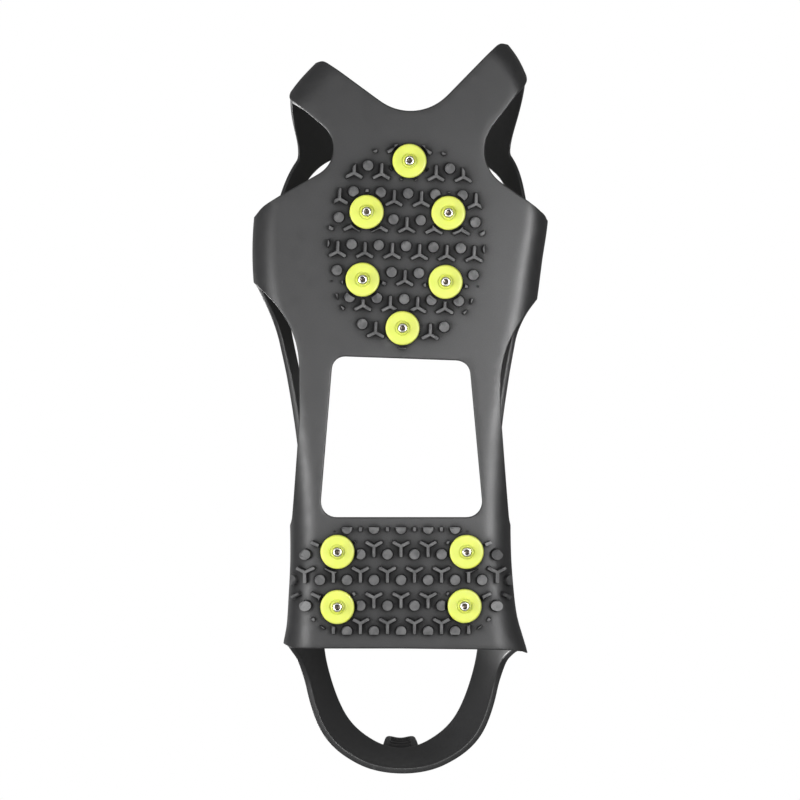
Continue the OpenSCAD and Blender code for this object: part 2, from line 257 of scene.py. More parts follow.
def trimmed(path, cut, at_end):
    """The path without its last or first cut millimetres."""
    line = path if at_end else path[::-1]
    along = lengths_along(line)
    stop = max(along[-1] - cut, along[-1] * 0.1)
    kept = line[along < stop]
    last = [np.interp(stop, along, line[:, k]) for k in (0, 1)]
    line = np.vstack([kept, last])
    return line if at_end else line[::-1]


def join(sections, cuts):
    """A closed loop of sections. Each cut is the length over which the corner after a section is rounded."""
    parts = []
    for i, path in enumerate(sections):
        path = trimmed(path, cuts[i - 1], at_end=False)
        parts.append(trimmed(path, cuts[i], at_end=True))
    loop = []
    for i, path in enumerate(parts):
        loop.extend(path)
        following = parts[(i + 1) % len(parts)]
        a, d = path[-1], following[0]
        u, v = path[-1] - path[-2], following[0] - following[1]
        reach = HANDLE * cuts[i]
        b, c = a + u / np.linalg.norm(u) * reach, d + v / np.linalg.norm(v) * reach
        for f in np.linspace(0, 1, 14)[1:-1]:
            g = 1 - f
            loop.append(g ** 3 * a + 3 * g ** 2 * f * b + 3 * g * f * f * c + f ** 3 * d)
    loop = spaced(np.array(loop), LOOP_STEP, closed=True)
    for _ in range(2):
        loop = (np.roll(loop, 1, 0) + 2 * loop + np.roll(loop, -1, 0)) / 4
    return loop


def foot(web_end):
    """Where the edge of a wall starts, above an end of a stretch of the web's outline."""
    return float(locate([web_end])[0][0]), WALL_START


def opening(web, up, rim, down, cuts):
    """The loop of an opening: along the web, up one wall, along the rim's foot and down the other wall. The
    web's first and last corner turn along the sole edge to a point just past it, which rounds the corner."""
    return join([
        web,
        wall_path(foot(web[-1]), *up),
        rim_foot(*rim),
        wall_path(*down, foot(web[0])),
    ], cuts)


def toe_opening():
    web = web_path((33.4, 136.6, 0), (31.3, 138.9, 2.4), (-6, 111.5, 20), (-39.9, 146.2, 2.4),
                   (-42, 143.6, 0))
    return opening(web, [(30.14, 0.25), (30.28, 0.55), (30.38, 0.83)], (30.38, STATIONS + 1.62),
                   [(1.62, 0.83), (1.74, 0.55), (1.9, 0.25)], [1.5, 9, 9, 1.5])


def front_opening_right():
    web = web_path((43.1, 126, 0), (44.4, 123.8, 1.6), (17.5, 101.5, 11.5), (57.6, 79, 11), (58.1, 72.5, 0))
    return opening(web, [(5.0, 0.3), (4.7, 0.75)], (4.7, 3.35), [(3.35, 0.8), (3.12, 0.4)], [3, 7, 7, 1.5])


def front_opening_left():
    web = web_path((-48.9, 132.7, 0), (-50, 130.5, 1.6), (-26, 98.8, 15.5), (-58.1, 77.1, 11),
                   (-57.9, 70.5, 0))
    return opening(web, [(26.95, 0.3), (27.3, 0.75)], (27.3, 28.65), [(28.65, 0.8), (28.88, 0.4)],
                   [3, 7, 7, 1.5])


def waist_opening_right():
    web = web_path((57.8, 51, 0), (39.7, 34, 38), (39.7, -1, 60), (43.1, -45, 0))
    return opening(web, [(10.35, 0.3), (9.9, 0.74)], (9.9, 6.9), [(6.9, 0.74), (6.42, 0.3)], [4, 11, 11, 2])


def waist_opening_left():
    web = web_path((-53.6, 44.5, 8), (-52.7, 44, 8), (-39.2, 24, 40), (-39.1, 3, 80), (-42.9, -45, 0))
    return opening(web, [(21.65, 0.3), (22.1, 0.74)], (22.1, 25.1), [(25.1, 0.74), (25.3, 0.3)],
                   [4, 11, 11, 2])


def heel_opening():
    web = web_path((44.7, -89, 0), (44.6, -92, 2.2), (0, -92, 0.1), (-45.7, -92.5, 2.2), (-45.7, -89.5, 0))
    return opening(web, [(19.52, 0.3), (19.2, 0.66)], (19.2, 12.8), [(12.8, 0.66), (12.46, 0.3)],
                   [2, 13, 13, 2])


def arch_window():
    corners = [(26.5, 22.2, 5), (31.7, -40.7, 6), (-32.3, -40.7, 6), (-26.7, 20.3, 5.5)]
    return arc_corners(corners, closed=True, step=LOOP_STEP)


def round_the_walls(t):
    """The loop round all the walls at one t: 0 at the widest line of the sole, 1 at the rim."""
    s = np.linspace(0, STATIONS, 1400, endpoint=False)
    return spaced(wall_to_pattern(s, t), RIM_STEP, closed=True)


def circle(centre, radius, count):
    a = np.arange(count) * 2 * math.pi / count
    return np.column_stack([centre[0] + radius * np.cos(a), centre[1] + radius * np.sin(a)])


# ---------------------------------------------------------------------------------------------------------
# Thick sheets cut from a pattern
# ---------------------------------------------------------------------------------------------------------
def rounded_edge(radius, inner_radius, steps=4):
    """An edge's profile: distance in from the edge, and how far the outer and inner surface draw back."""
    profile = []
    for a in np.linspace(0, math.pi / 2, steps + 1):
        drop = 1 - math.sin(a)
        profile.append((radius * (1 - math.cos(a)), radius * drop, inner_radius * drop))
    return profile


def bead_edge():
    """The rim's edge, with a bead on its outer side."""
    plain = rounded_edge(1.1, 0.9)
    swell = [(e, o - BEAD, i) for e, o, i in plain]
    fading = ((1.9, 0.93), (2.7, 0.7), (3.4, 0.35), (4.1, 0.08), (4.8, 0))
    return swell + [(e, -share * BEAD, 0) for e, share in fading]


def bore_edge():
    """A stud bore's edge, with a seat for the carrier's inner flange on the shoe side."""
    seat = FLANGE_RADIUS - NECK_RADIUS
    return [(0, 0.1, FLANGE_THICK), (0.15, 0, FLANGE_THICK), (seat, 0, FLANGE_THICK), (seat + 0.1, 0, 0.15),
            (seat + 0.3, 0, 0)]


def inside(points, loop):
    """Which points lie inside a closed loop."""
    x, y = points[:, 0], points[:, 1]
    odd = np.zeros(len(points), bool)
    for (x0, y0), (x1, y1) in zip(loop, np.roll(loop, -1, 0)):
        if y0 == y1:
            continue
        crosses = (y0 > y) != (y1 > y)
        odd ^= crosses & (x < (x1 - x0) * (y - y0) / (y1 - y0) + x0)
    return odd


def stepped_in(loop, surface, distance, hole):
    """The loop moved into the material by a distance that is measured on the surface."""
    if distance == 0:
        return loop
    tangent = np.roll(loop, -1, 0) - np.roll(loop, 1, 0)
    tangent /= np.linalg.norm(tangent, axis=1)[:, None]
    normal = np.column_stack([-tangent[:, 1], tangent[:, 0]])
    if counterclockwise(loop) == hole:
        normal = -normal
    small = 0.05
    base = surface(loop)[0]
    jx = (surface(loop + [small, 0])[0] - base) / small
    jy = (surface(loop + [0, small])[0] - base) / small
    g = np.empty((len(loop), 2, 2))
    g[:, 0, 0], g[:, 0, 1] = (jx * jx).sum(1), (jx * jy).sum(1)
    g[:, 1, 0], g[:, 1, 1] = g[:, 0, 1], (jy * jy).sum(1)
    lift = np.linalg.solve(g, normal[..., None])[..., 0]
    lift /= np.sqrt((lift * normal).sum(1))[:, None]
    return loop + lift * distance


def within(points, loops):
    """Which points lie inside the first loop and outside the others."""
    keep = inside(points, loops[0])
    for loop in loops[1:]:
        keep &= ~inside(points, loop)
    return keep


def clear_of(points, others, gap):
    """The points at least a gap away from all the others."""
    clear = np.ones(len(points), bool)
    for at in range(0, len(points), BATCH):
        gaps = np.linalg.norm(points[at:at + BATCH, None] - others[None], axis=2).min(1)
        clear[at:at + BATCH] = gaps >= gap
    return points[clear]


ROW_SHARE = 0.866                            # height of a triangle in the grid, in spacings
GRID_GAP, GUIDE_GAP = 0.62, 0.4              # least gap from the grid and the guide to a border, in spacings


def sheet_mesh(name, surface, thickness, outer, holes, spacing, guide=None):
    """A closed mesh of a thick sheet: surface maps the pattern to its outer skin, outer and holes are
    (loop, profile) pairs, and thickness gives the depth of the inner skin at points of the pattern. Points
    along the guide become vertices too, so that no triangle straddles it."""
    rings, starts, flat, depth_out, depth_in = [], [], [], [], []
    total = 0
    for number, (loop, profile) in enumerate([outer] + holes):
        ring_starts = []
        for e, draw_out, draw_in in profile:
            ring = stepped_in(loop, surface, e, hole=number > 0)
            ring_starts.append(total)
            total += len(ring)
            flat.append(ring)
            depth_out.append(np.full(len(ring), draw_out))
            depth_in.append(np.full(len(ring), draw_in))
        rings.append((len(loop), ring_starts, number > 0))
        starts.append(ring)
    low, high = starts[0].min(0), starts[0].max(0)
    rows = np.arange(low[1], high[1], spacing * ROW_SHARE)
    grid = np.array([(x + (k % 2) * spacing / 2, y) for k, y in enumerate(rows)
                     for x in np.arange(low[0], high[0], spacing)])
    borders = np.vstack(starts)
    grid = clear_of(grid[within(grid, starts)], borders, spacing * GRID_GAP)
    if guide is not None:
        guide = clear_of(guide[within(guide, starts)], borders, spacing * GUIDE_GAP)
        grid = np.vstack([clear_of(grid, guide, spacing * GRID_GAP), guide])
    flat.append(grid)
    depth_out.append(np.zeros(len(grid)))
    depth_in.append(np.zeros(len(grid)))
    flat, depth_out, depth_in = np.vstack(flat), np.concatenate(depth_out), np.concatenate(depth_in)

    index, edges = [], []
    for count, ring_starts, _ in rings:
        first = len(index)
        index.extend(range(ring_starts[-1], ring_starts[-1] + count))
        edges.extend((first + k, first + (k + 1) % count) for k in range(count))
    index.extend(range(total, total + len(grid)))
    index = np.array(index)
    _, _, faces, origin, _, _ = delaunay_2d_cdt([tuple(p) for p in flat[index]], edges, [], 0, 1e-7)
    origin = np.array([index[o[0]] for o in origin])
    triangles = origin[np.array(faces)]
    triangles = triangles[within(flat[triangles].mean(1), starts)]
    a, b, c = (flat[triangles[:, k]] for k in range(3))
    clockwise = (b[:, 0] - a[:, 0]) * (c[:, 1] - a[:, 1]) < (b[:, 1] - a[:, 1]) * (c[:, 0] - a[:, 0])
    triangles[clockwise] = triangles[clockwise][:, ::-1]

    place, normal = surface(flat)
    skin_out = place - normal * depth_out[:, None]
    skin_in = place - normal * (thickness(flat) - depth_in)[:, None]
    inner = len(flat)
    polygons = triangles[:, ::-1].tolist() + (triangles + inner).tolist()
    for count, ring_starts, hole in rings:
        forward = counterclockwise(flat[ring_starts[0]:ring_starts[0] + count]) != hole
        for k in range(count):
            j = (k + 1) % count
            k, j = (k, j) if forward else (j, k)
            for ra, rb in zip(ring_starts, ring_starts[1:]):
                polygons.append((ra + k, rb + k, rb + j, ra + j))
                polygons.append((inner + ra + k, inner + ra + j, inner + rb + j, inner + rb + k))
            first = ring_starts[0]
            polygons.append((first + k, first + j, inner + first + j, inner + first + k))
    return mesh_object(name, np.vstack([skin_out, skin_in]), polygons)


def mesh_object(name, points, polygons):
    """A smooth-shaded object from points in millimetres."""
    mesh = bpy.data.meshes.new(name)
    mesh.from_pydata((np.asarray(points) * MM).tolist(), [], polygons)
    mesh.validate()
    mesh.polygons.foreach_set("use_smooth", [True] * len(mesh.polygons))
    mesh.update()
    obj = bpy.data.objects.new(name, mesh)
    bpy.context.scene.collection.objects.link(obj)
    return obj


def stud_centre(i):
    low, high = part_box(f"steel_stud_{i}")
    return np.array([(low[0] + high[0]) / 2, (low[1] + high[1]) / 2]) / MM


STUDS = [stud_centre(i) for i in range(1, STUD_COUNT + 1)]


def harness_thickness(points):
    """Pads are thicker than walls, with the change spread over the fold."""
    _, d = locate(points)
    f = np.clip((d + FOLD) / FOLD, 0, 1)
    return WEB_THICK + (WALL_THICK - WEB_THICK) * f * f * (3 - 2 * f)


def make_harness():
    edge = rounded_edge(EDGE, EDGE)
    outlines = (toe_opening, front_opening_right, front_opening_left, waist_opening_right,
                waist_opening_left, heel_opening, arch_window)
    holes = [(outline(), edge) for outline in outlines]
    holes += [(circle(centre, NECK_RADIUS, 32), bore_edge()) for centre in STUDS]
    return sheet_mesh("harness", skin, harness_thickness, (round_the_walls(1), bead_edge()), holes,
                      spacing=2.4, guide=round_the_walls(0))


# ---------------------------------------------------------------------------------------------------------
# Tread lugs: cut as flat prisms, rounded, and laid on the harness's skin
# ---------------------------------------------------------------------------------------------------------
ROOT_DEPTH = 0.8                             # how far the lugs reach into the pad
COLLAR = 0.15                                # height and width of the small flare at a lug's foot
JUNCTION = 3.1                               # how far a lug's three arms meet from the row of round lugs
ARM_SPREAD = 118                             # degrees from the upright arm to each of the others
LUG_BEVEL = 0.22
CLIP_DEPTH = 5                               # half the height of the solids that trim the treads
LUG_ROWS, LUG_COLUMNS = range(-4, 5), range(-5, 6)


def prisms(name, solids):
    """Upright solids as one object. Each solid is a list of (height, loop), with counterclockwise loops of
    equal length. The object's unit is a millimetre, and not a metre, which suits exact cuts."""
    points, faces = [], []
    for levels in solids:
        first, n = len(points), len(levels[0][1])
        for z, loop in levels:
            points.extend((x, y, z) for x, y in loop)
        top = first + n * (len(levels) - 1)
        faces.append(tuple(first + k for k in reversed(range(n))))
        faces.append(tuple(top + k for k in range(n)))
        for at in range(first, top, n):
            faces.extend((at + k, at + (k + 1) % n, at + n + (k + 1) % n, at + n + k) for k in range(n))
    return mesh_object(name, np.array(points) / MM, faces)


def through(loop):
    """A solid that reaches through the whole tread."""
    return [(-CLIP_DEPTH, loop), (CLIP_DEPTH, loop)]


def three_arms(centre, stem_sign, grow):
    """Outline of a three-armed lug with its upright arm along +Y or -Y."""
    half, spread = RIB_WIDTH / 2 + grow, math.radians(ARM_SPREAD)
    tip = 0.7 * half                         # how far an arm's rounded end reaches
    stem = stem_sign * math.pi / 2
    headings = sorted((stem + turn) % (2 * math.pi) for turn in (0, spread, -spread))
    loop = []
    for i, a in enumerate(headings):
        length = (STEM_LENGTH if abs(math.cos(a)) < 0.1 else RIB_LENGTH) + grow
        u = np.array([math.cos(a), math.sin(a)])
        side = np.array([-u[1], u[0]])
        for b in np.radians([-90, -65, -40, 40, 65, 90]):
            loop.append(u * (length - tip + tip * math.cos(b)) + side * half * math.sin(b))
        gap = (headings[(i + 1) % 3] - a) % (2 * math.pi)
        between = a + gap / 2
        loop.append(np.array([math.cos(between), math.sin(between)]) * half / math.sin(gap / 2))
    return np.array(loop) + centre


def turned(points, degrees):
    a = math.radians(degrees)
    return points @ np.array([[math.cos(a), math.sin(a)], [-math.sin(a), math.cos(a)]])


def evaluated(obj):
    """The object's mesh with its modifiers applied."""
    depsgraph = bpy.context.evaluated_depsgraph_get()
    mesh = bpy.data.meshes.new_from_object(obj.evaluated_get(depsgraph))
    old = obj.data
    obj.modifiers.clear()
    obj.data = mesh
    bpy.data.meshes.remove(old)
    return mesh


def clipped(obj, operation, cutter):
    modifier = obj.modifiers.new("clip", "BOOLEAN")
    modifier.operation, modifier.solver, modifier.object = operation, "EXACT", cutter
    evaluated(obj)
    bpy.data.objects.remove(cutter)


def crisp(obj):
    """Lets the large faces set the shading, so that flats stay flat beside small rounded edges."""
    modifier = obj.modifiers.new("normals", "WEIGHTED_NORMAL")
    modifier.mode, modifier.weight, modifier.keep_sharp = "FACE_AREA", 50, True
    evaluated(obj)


def tread(name, centre, tilt, pitch, stem_sign, zone, studs):
    """The lugs of one pad. The zone is an outline about the tread's centre."""
    solids = []
    sections = ((-ROOT_DEPTH, LUG_DRAFT), (0, LUG_DRAFT + COLLAR), (COLLAR, LUG_DRAFT), (LUG_HEIGHT, 0))
    for row in LUG_ROWS:
        for column in LUG_COLUMNS:
            shift = pitch[0] / 2 if row % 2 else 0
            middle = (column * pitch[0] + shift, row * pitch[1])
            junction = ((column + 0.5) * pitch[0] + shift, row * pitch[1] - stem_sign * JUNCTION)
            discs = [(z, circle(middle, LUG_RADIUS + grow, 28)) for z, grow in sections]
            arms = [(z, three_arms(junction, stem_sign, grow)) for z, grow in sections]
            for levels in (discs, arms):
                solids.append([(z, turned(loop, tilt) + centre) for z, loop in levels])
    lugs = prisms(name, solids)
    clipped(lugs, "INTERSECT", prisms("zone", [through(turned(np.array(zone), tilt) + centre)]))
    clearings = [through(circle(stud, STUD_CLEARING, 72)) for stud in studs]
    clipped(lugs, "DIFFERENCE", prisms("clearings", clearings))
    bevel = lugs.modifiers.new("edges", "BEVEL")
    bevel.width, bevel.segments = LUG_BEVEL, 3
    bevel.limit_method, bevel.angle_limit = "ANGLE", math.radians(55)
    mesh = evaluated(lugs)
    co = np.array([v.co for v in mesh.vertices])
    # From 8 mm to 1 mm inside the sole edge the lugs sink to half their height
    _, d = locate(co[:, :2])
    f = np.clip((d + 8) / 7, 0, 1)
    height = co[:, 2] * (1 - 0.5 * f * f * (3 - 2 * f) * (co[:, 2] > 0))
    place, normal = skin(plan_to_pattern(co[:, :2]))
    mesh.vertices.foreach_set("co", ((place + normal * height[:, None]) * MM).ravel())
    mesh.polygons.foreach_set("use_smooth", [True] * len(mesh.polygons))
    mesh.update()
    crisp(lugs)
    return lugs


# The forefoot's zone is an oval: half its sizes, and how square it is toward the toe and toward the arch
OVAL_HALF, OVAL_TOE, OVAL_ARCH = (30.6, 39.9), 2.25, 2.05
# The heel's zone: its right half
HEEL_ZONE = [(22.5, 20.5), (34.5, 15.2), (42.6, 6), (42.6, -6.5), (34.5, -15.8), (27, -21.3)]


def make_treads():
    a = np.radians(np.arange(0, 360, 4))
    power = np.where(np.sin(a) > 0, 2 / OVAL_TOE, 2 / OVAL_ARCH)
    oval = np.column_stack([size * np.sign(f) * np.abs(f) ** power
                            for size, f in zip(OVAL_HALF, (np.cos(a), np.sin(a)))])
    heel_zone = [(-x, y) for x, y in HEEL_ZONE] + HEEL_ZONE[::-1]
    forefoot = tread("forefoot_lugs", np.array([-2.1, 65]), tilt=2.1, pitch=(10.65, 10.3), stem_sign=1,
                     zone=oval, studs=STUDS[:FOREFOOT_STUDS])
    heel = tread("heel_lugs", np.array([-0.1, -65.1]), tilt=0, pitch=(10.55, 10), stem_sign=-1,
                 zone=heel_zone, studs=STUDS[FOREFOOT_STUDS:])
    return forefoot, heel


# ---------------------------------------------------------------------------------------------------------
# Studs and their carriers, turned about each stud's axis. The profiles are radii and heights.
# ---------------------------------------------------------------------------------------------------------
CARRIER_PROFILE = [
    (1.72, 3.3), (1.76, 3.0), (1.9, 2.9), (2.2, 2.9), (2.38, 2.96), (2.46, 3.12), (2.5, 3.45),
    (2.62, 3.56), (2.8, 3.56), (2.98, 3.44), (3.12, 3.33), (3.4, 3.3), (4.6, 3.3), (5.8, 3.32),
    (6.12, 3.36), (6.36, 3.47), (6.54, 3.66), (6.63, 3.92), (6.65, 4.2), (6.65, 4.9), (6.6, 5.12),
    (6.45, 5.27), (6.3, 5.3), (3.6, 5.32), (3.55, 5.4), (3.55, 7.2), (3.65, 7.32), (5.35, 7.32),
    (5.46, 7.38), (5.48, 7.5), (5.48, 8.1), (5.42, 8.24), (5.28, 8.3), (3.2, 8.3), (3.06, 8.24),
    (3.0, 8.1), (3.0, 7.0), (2.95, 6.9), (1.8, 6.88), (1.72, 6.8),
]
STUD_PROFILE = [
    (0, 2.6), (0.5, 2.6), (0.84, 2.55), (0.97, 2.4), (1.0, 2.2), (1.0, 0.32), (1.03, 0.14), (1.12, 0.04),
    (1.24, 0), (1.42, 0), (1.58, 0.05), (1.7, 0.17), (1.75, 0.36), (1.75, 1.2), (1.75, 6.8), (1.85, 6.92),
    (2.8, 6.92), (2.94, 6.98), (2.98, 7.1), (2.98, 7.85), (2.92, 8.02), (2.78, 8.1), (1.4, 8.1), (0, 8.1),
]
HEADING_STEP = 2.4                           # radians from one stud's heading to the next one's


def turned_part(name, profile, centre, heading, segments=72):
    """A solid of revolution about its own origin, turned to a heading, which sets its texture apart from the
    others. A profile that starts on the axis ends on it, and any other closes on itself."""
    points, faces, rings = [], [], []
    for r, z in profile:
        if r == 0:
            rings.append([len(points)] * segments)
            points.append((0, 0, z))
            continue
        rings.append(list(range(len(points), len(points) + segments)))
        points.extend((x, y, z) for x, y in circle((0, 0), r, segments))
    pairs = list(zip(rings, rings[1:]))
    if profile[0][0]:
        pairs.append((rings[-1], rings[0]))
    for lower, upper in pairs:
        for k in range(segments):
            j = (k + 1) % segments
            face = [lower[k], upper[k], upper[j], lower[j]]
            faces.append(tuple(dict.fromkeys(face)))
    obj = mesh_object(name, points, faces)
    crisp(obj)
    obj.location = (centre[0] * MM, centre[1] * MM, 0)
    obj.rotation_euler = (0, 0, heading)
    return obj


# ---------------------------------------------------------------------------------------------------------
# The heel's pull tab: a tongue moulded on the heel band, standing above its rim
# ---------------------------------------------------------------------------------------------------------
TAB_WIDTH, TAB_THICK, TAB_PROUD, TAB_FOOT = 26, 3.0, 1.2, 15
TAB_RIBS, TAB_RIB_PITCH, TAB_RIB_HEIGHT = 4, 3.5, 0.8
TAB_RIB_HALF, TAB_RIB_RADIUS, TAB_RIB_INSET = 7.5, 1.25, 5.5   # the inset is the first rib's, from the tip
TAB_STATION, STATION_WIDTH = 16, 21.5        # where the tab stands, and how long a station is there
TAB_SETTLE = 9.0                             # the height over which the wall's lean gives way to upright


def tab_surface(points):
    """x runs across the tab, and y up it from the heel band's rim."""
    x, y = np.asarray(points, float).T
    s = TAB_STATION - x / STATION_WIDTH
    edge, out, radius, length = wall(s)
    rim = FOLD * (math.pi / 2 - 1) + length
    place, normal = skin(edge + out * (rim + np.minimum(y, 0))[:, None])
    lean = length / radius
    above = np.maximum(y, 0)
    fade = np.exp(-above / TAB_SETTLE)
    drift = TAB_SETTLE * (1 - fade) * np.sin(lean)
    place[:, :2] -= out * drift[:, None]
    place[:, 2] += above * (1 + np.cos(lean)) / 2
    angle = np.where(y > 0, lean * fade, np.arcsin(np.clip(normal[:, 2], -1, 1)))
    normal = np.column_stack([out * np.cos(angle)[:, None], np.sin(angle)])
    rib = np.zeros(len(x))
    for k in range(TAB_RIBS):
        centre = tab_height() - TAB_RIB_INSET - k * TAB_RIB_PITCH
        reach = np.hypot(np.maximum(np.abs(x) - TAB_RIB_HALF, 0), y - centre)
        rib += np.clip(1 - (reach / TAB_RIB_RADIUS) ** 2, 0, 1) ** 0.7
    return place + normal * (TAB_PROUD + TAB_RIB_HEIGHT * rib)[:, None], normal


def tab_height():
    """How far the tab stands above the heel band's rim."""
    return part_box("pull_tab")[1][2] / MM - HEEL_RIM - 0.3


def make_tab():
    half, top, corner = TAB_WIDTH / 2, tab_height(), 7
    ends = [(-half, -TAB_FOOT), (half, -TAB_FOOT), (half, top), (-half, top)]
    loop = arc_corners([(x, y, corner) for x, y in ends], closed=True, step=0.8)
    return sheet_mesh("grip_tab", tab_surface, lambda points: np.full(len(points), TAB_THICK),
                      (loop, rounded_edge(0.9, 0.8)), [], spacing=0.75)


# ---------------------------------------------------------------------------------------------------------
# Materials
# ---------------------------------------------------------------------------------------------------------
class Nodes:
    """Short calls for building one material's node tree. Textures follow the object's own coordinates."""

    def __init__(self, name):
        self.material = bpy.data.materials.new(name)
        self.material.use_nodes = True
        self.tree = self.material.node_tree
        self.shader = self.tree.nodes["Principled BSDF"]
        self.place = self.new("ShaderNodeTexCoord").outputs["Object"]

    def new(self, kind, **values):
        node = self.tree.nodes.new(kind)
        for key, value in values.items():
            setattr(node, key, value)
        return node

    def link(self, source, target):
        self.tree.links.new(source, target)

    def noise(self, scale, detail=2.0, roughness=0.5, place=None):
        node = self.new("ShaderNodeTexNoise")
        node.inputs["Scale"].default_value = scale
        node.inputs["Detail"].default_value = detail
        node.inputs["Roughness"].default_value = roughness
        self.link(place or self.place, node.inputs["Vector"])
        return node.outputs["Fac"]

    def stretched(self, scale):
        node = self.new("ShaderNodeMapping")
        node.inputs["Scale"].default_value = scale
        self.link(self.place, node.inputs["Vector"])
        return node.outputs["Vector"]

    def ramp(self, source, *stops):
        node = self.new("ShaderNodeValToRGB")
        elements = node.color_ramp.elements
        while len(elements) < len(stops):
            elements.new(0.5)
        for element, (position, colour) in zip(elements, stops):
            element.position = position
            element.color = (*colour, 1) if hasattr(colour, "__len__") else (colour, colour, colour, 1)
        self.link(source, node.inputs["Fac"])
        return node.outputs["Color"]

    def mix(self, kind, fac, a, b):
        node = self.new("ShaderNodeMix", data_type="RGBA", blend_type=kind)
        for socket, value in ((node.inputs[0], fac), (node.inputs[6], a), (node.inputs[7], b)):
            if isinstance(value, bpy.types.NodeSocket):
                self.link(value, socket)
            else:
                socket.default_value = value
        return node.outputs[2]

    def bump(self, height, strength, distance, under=None):
        node = self.new("ShaderNodeBump")
        node.inputs["Strength"].default_value = strength
        node.inputs["Distance"].default_value = distance
        self.link(height, node.inputs["Height"])
        if under is not None:
            self.link(under, node.inputs["Normal"])
        return node.outputs["Normal"]

    def finish(self, colour, roughness, normal, **values):
        self.link(colour, self.shader.inputs["Base Color"])
        self.link(roughness, self.shader.inputs["Roughness"])
        self.link(normal, self.shader.inputs["Normal"])
        for key, value in values.items():
            self.shader.inputs[key.replace("_", " ")].default_value = value
        return self.material


def rubber(name, dark, light, worn_and_highlit):
    """Moulded rubber: fine spark-eroded grain, slow flow marks, edges a little lighter, partly from handling
    and partly as a painted highlight, and painted shade that darkens the corners and dulls their reflections."""
    n = Nodes(name)
    cloud = n.noise(38, 3)
    grain = n.noise(1900, 3, 0.6)
    flow = n.noise(260, 4, 0.55)
    base = n.ramp(cloud, (0.3, dark), (0.72, light))
    speck = n.ramp(grain, (0.35, 0.82), (0.7, 1.12))
    base = n.mix("MULTIPLY", 0.55, base, speck)
    # Edges and points are painted lighter: partly wear, partly a painted highlight along the edges
    edges = n.new("ShaderNodeNewGeometry").outputs["Pointiness"]
    rubbed_and_highlit = n.ramp(edges, (0.505, 0), (0.58, 1))
    patchy = n.mix("MULTIPLY", 1.0, rubbed_and_highlit, n.ramp(flow, (0.35, 0.25), (0.65, 0.9)))
    base = n.mix("MIX", patchy, base, (*worn_and_highlit, 1))
    # Painted shade: ambient occlusion darkens the colour in corners, creases and round the lugs and carriers,
    # and lowers the reflections there
    corners = n.new("ShaderNodeAmbientOcclusion", samples=8)
    corners.inputs["Distance"].default_value = 0.006
    painted_shade = n.ramp(corners.outputs["AO"], (0.3, 0.1), (0.75, 0.6), (0.97, 1))
    base = n.mix("MULTIPLY", 1.0, base, painted_shade)
    gloss = n.ramp(corners.outputs["AO"], (0.45, 0.05), (0.75, 0.2), (0.97, 0.33))
    n.link(gloss, n.shader.inputs["Specular IOR Level"])
    rough = n.ramp(flow, (0.3, 0.42), (0.7, 0.52))
    normal = n.bump(cloud, 0.25, 0.0006)
    normal = n.bump(flow, 0.12, 0.0002, normal)
    normal = n.bump(grain, 0.35, 0.00006, normal)
    return n.finish(base, rough, normal, Sheen_Weight=0.03, Sheen_Roughness=0.5)


def plastic(name, colour, deep):
    """Bright moulded plastic that lets some light in, with a soft orange-peel skin."""
    n = Nodes(name)
    cloud = n.noise(170, 2)
    peel = n.noise(1100, 2)
    fine = n.noise(4200, 2)
    base = n.ramp(cloud, (0.3, deep), (0.7, colour))
    # Painted shade: ambient occlusion darkens the colour to olive in hollows and where the carrier meets the
    # stud and the rubber
    corners = n.new("ShaderNodeAmbientOcclusion", samples=8)
    corners.inputs["Distance"].default_value = 0.0016
    base = n.mix("MULTIPLY", 1.0, base, n.ramp(corners.outputs["AO"], (0.3, (0.3, 0.32, 0.02)), (0.8, 1)))
    rough = n.ramp(peel, (0.3, 0.34), (0.7, 0.48))
    normal = n.bump(peel, 0.25, 0.00008)
    normal = n.bump(fine, 0.2, 0.00003, normal)
    return n.finish(base, rough, normal, Subsurface_Weight=0.5, Subsurface_Radius=(0.9, 1.0, 0.2),
                    Subsurface_Scale=0.002, Specular_IOR_Level=0.35)


STUD_BORE = 0.00101                          # metres, just over the bore's radius


def steel(name):
    """Turned steel with fine tool marks round it, a few dull patches and painted shade down the bore."""
    n = Nodes(name)
    patch = n.noise(700, 3)
    marks = n.noise(300, 3, 0.6, n.stretched((0.4, 0.4, 26)))
    scuff = n.noise(5200, 2)
    base = n.ramp(patch, (0.3, (0.42, 0.41, 0.39)), (0.7, (0.62, 0.61, 0.59)))
    flat = n.stretched((1, 1, 0))
    radius = n.new("ShaderNodeVectorMath", operation="LENGTH")
    n.link(flat, radius.inputs[0])
    depth = n.new("ShaderNodeSeparateXYZ")
    n.link(n.place, depth.inputs[0])
    in_bore = n.new("ShaderNodeMath", operation="LESS_THAN")
    n.link(radius.outputs["Value"], in_bore.inputs[0])
    in_bore.inputs[1].default_value = STUD_BORE
    below = n.new("ShaderNodeMapRange")
    n.link(depth.outputs["Z"], below.inputs["Value"])
    below.inputs["From Min"].default_value, below.inputs["From Max"].default_value = 0.0002, 0.0008
    bore = n.new("ShaderNodeMath", operation="MULTIPLY")
    n.link(in_bore.outputs[0], bore.inputs[0])
    n.link(below.outputs["Result"], bore.inputs[1])
    # Painted shade: the colour darkens down inside the bore, more the deeper it goes
    base = n.mix("MIX", bore.outputs[0], base, (0.13, 0.11, 0.09, 1))
    rough = n.ramp(scuff, (0.3, 0.2), (0.75, 0.42))
    normal = n.bump(marks, 0.2, 0.00004)
    normal = n.bump(scuff, 0.25, 0.00002, normal)
    return n.finish(base, rough, normal, Metallic=1.0)


